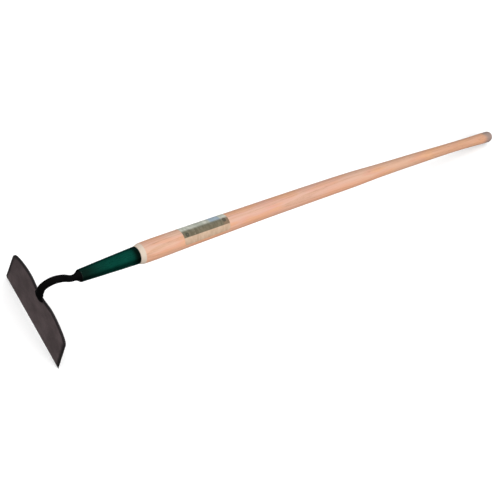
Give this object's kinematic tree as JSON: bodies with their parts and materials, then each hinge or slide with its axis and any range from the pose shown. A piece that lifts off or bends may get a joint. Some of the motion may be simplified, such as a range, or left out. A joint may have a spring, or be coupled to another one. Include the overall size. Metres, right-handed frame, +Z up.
{
  "type": "gooseneck hoe",
  "caption": "Long-handled hoe: a wide shouldered steel blade hangs from a curved forged neck, whose tang is held by a tapered ferrule on a slightly bowed ash handle.",
  "frame": {"origin": "centre of the box's base: the hoe lies on its blade's two corners and the butt of its handle, on Z = 0", "axes": "+X along the handle from the blade to the butt, +Y across the blade, +Z up"},
  "size_m": [1.484, 0.19, 0.148],
  "materials": {
    "blade_steel": "matt dark grey-brown lacquer over steel, mottled, with a ground edge",
    "forged_black": "black lacquer over forge scale",
    "weld_steel": "rippled bead under black lacquer",
    "ferrule_green": "glossy dark green enamel",
    "pin_steel": "dull zinc",
    "ash_wood": "sanded ash under clear varnish, bare on the cut shoulder",
    "label_print": "worn printed sticker with no lettering"
  },
  "bodies": {
    "root": {"blade": "blade_steel", "gooseneck_shank": "forged_black", "weld_outer": "weld_steel", "weld_inner": "weld_steel", "ferrule": "ferrule_green", "ferrule_pin": "pin_steel", "handle": "ash_wood", "handle_label": "label_print"}
  },
  "joints": []
}
